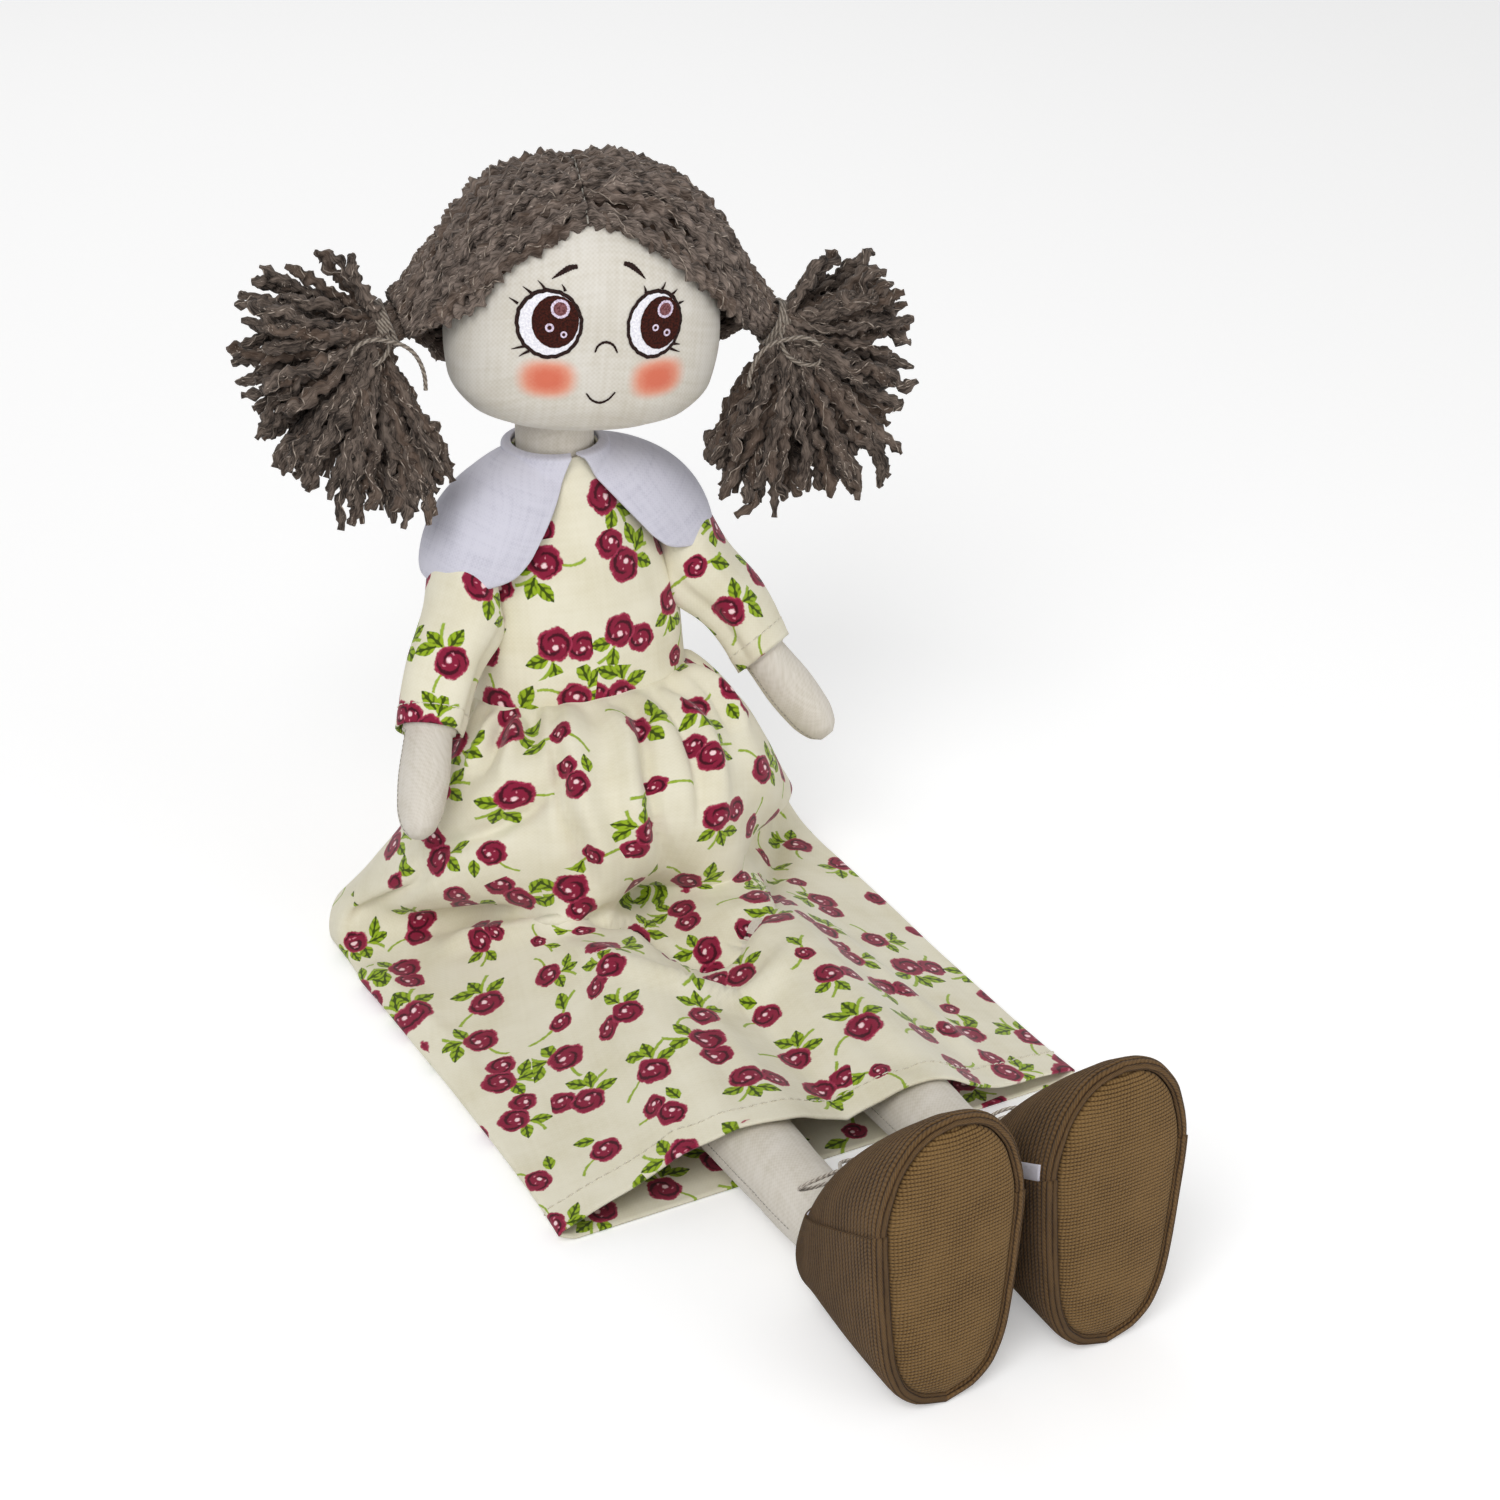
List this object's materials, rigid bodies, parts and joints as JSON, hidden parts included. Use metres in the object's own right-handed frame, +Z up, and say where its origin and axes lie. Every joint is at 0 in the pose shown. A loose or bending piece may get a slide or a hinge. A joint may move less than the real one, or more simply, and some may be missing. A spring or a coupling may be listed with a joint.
{
  "type": "cloth doll",
  "caption": "Seated stuffed cloth doll in a rose-print cotton dress with a white collar, slub-yarn pigtails and woven brown shoes.",
  "frame": {"origin": "on the flat floor face under the skirt's seat, in the doll's middle plane", "axes": "+Z up, the doll faces -Y with its legs forward, its right hand is at -X"},
  "size_m": [0.1828, 0.2715, 0.221],
  "materials": {
    "cotton_skin": "fine plain-weave cream cotton, matt, stuffed",
    "rose_cotton": "soft cream dress cotton with a scattered print of small dark red roses and olive leaves",
    "white_linen": "white linen, visible coarse plain weave, stitched edge",
    "hair_yarn": "taupe-brown slub yarn with thick soft slubs and a fine glossy binder thread",
    "tie_thread": "beige-grey twisted thread with frayed ends",
    "shoe_upper": "coarse brown woven wool cloth with a soft fuzz",
    "shoe_sole": "brown woven sole with fine horizontal rows",
    "shoe_lace": "off-white twisted thread",
    "felt_lining": "white soft felt",
    "nape_button": "small off-white button",
    "print_white": "white fabric print, weave showing",
    "print_dark": "dark brown fabric print, weave showing",
    "print_blush": "soft coral print fading into the cloth"
  },
  "bodies": {
    "torso": {"torso": "cotton_skin", "bodice": "rose_cotton", "skirt": "rose_cotton", "collar_right": "white_linen", "collar_left": "white_linen", "nape_button": "nape_button"},
    "head": {"head": "cotton_skin", "hair_cap_right": "hair_yarn", "hair_cap_left": "hair_yarn", "parting_stitch": "tie_thread", "print_eye_right": "print_white", "print_iris_right": "print_dark", "print_blush_right": "print_blush", "print_brow_right": "print_dark", "print_eye_left": "print_white", "print_iris_left": "print_dark", "print_blush_left": "print_blush", "print_brow_left": "print_dark", "print_nose": "print_dark", "print_smile": "print_dark"},
    "pigtail_right": {"pigtail_right": "hair_yarn", "hair_tie_right": "tie_thread", "tie_tail_right": "tie_thread"},
    "pigtail_left": {"pigtail_left": "hair_yarn", "hair_tie_left": "tie_thread", "tie_tail_left": "tie_thread"},
    "arm_right": {"arm_right": "cotton_skin", "sleeve_right": "rose_cotton"},
    "arm_left": {"arm_left": "cotton_skin", "sleeve_left": "rose_cotton"},
    "hips": {"hip_flap": "cotton_skin"},
    "leg_right": {"leg_right": "cotton_skin", "lining_right": "felt_lining", "sole_right": "shoe_sole", "vamp_right": "shoe_upper", "quarter_right": "shoe_upper", "lace_right": "shoe_lace"},
    "leg_left": {"leg_left": "cotton_skin", "lining_left": "felt_lining", "sole_left": "shoe_sole", "vamp_left": "shoe_upper", "quarter_left": "shoe_upper", "lace_left": "shoe_lace"}
  },
  "joints": [
    {"name": "head_turn", "type": "hinge", "parent": "torso", "child": "head", "pos_m": [0, 0.02, 0.15], "axis": [0, 0, 1], "range_deg": [-22, 22], "stiffness_Nm_per_rad": 0.03},
    {"name": "pigtail_swing_right", "type": "hinge", "parent": "head", "child": "pigtail_right", "pos_m": [-0.04148, 0.02137, 0.18016], "axis": [0.225, 0.9744, 0], "range_deg": [-4, 25], "stiffness_Nm_per_rad": 0.06},
    {"name": "pigtail_swing_left", "type": "hinge", "parent": "head", "child": "pigtail_left", "pos_m": [0.0517, -0.00015, 0.1718], "axis": [-0.225, -0.9744, 0], "range_deg": [-4, 25], "stiffness_Nm_per_rad": 0.06},
    {"name": "arm_swing_right", "type": "hinge", "parent": "torso", "child": "arm_right", "pos_m": [-0.025, 0.014, 0.118], "axis": [-1, 0, 0], "range_deg": [-40, 52], "deforming": ["collar_right", "skirt"]},
    {"name": "arm_swing_left", "type": "hinge", "parent": "torso", "child": "arm_left", "pos_m": [0.025, 0.014, 0.118], "axis": [-1, 0, 0], "range_deg": [-40, 52], "deforming": ["collar_left", "skirt"]},
    {"name": "hips_fold", "type": "hinge", "parent": "torso", "child": "hips", "pos_m": [0, -0.0122, 0.008], "axis": [-1, 0, 0], "range_deg": [-80, 25], "deforming": ["skirt"]},
    {"name": "leg_roll_right", "type": "hinge", "parent": "hips", "child": "leg_right", "pos_m": [-0.0215, -0.024, 0.0131], "axis": [0, -1, 0], "range_deg": [0, 35], "deforming": ["skirt"]},
    {"name": "leg_roll_left", "type": "hinge", "parent": "hips", "child": "leg_left", "pos_m": [0.0215, -0.024, 0.0131], "axis": [0, 1, 0], "range_deg": [0, 35], "deforming": ["skirt"]}
  ]
}
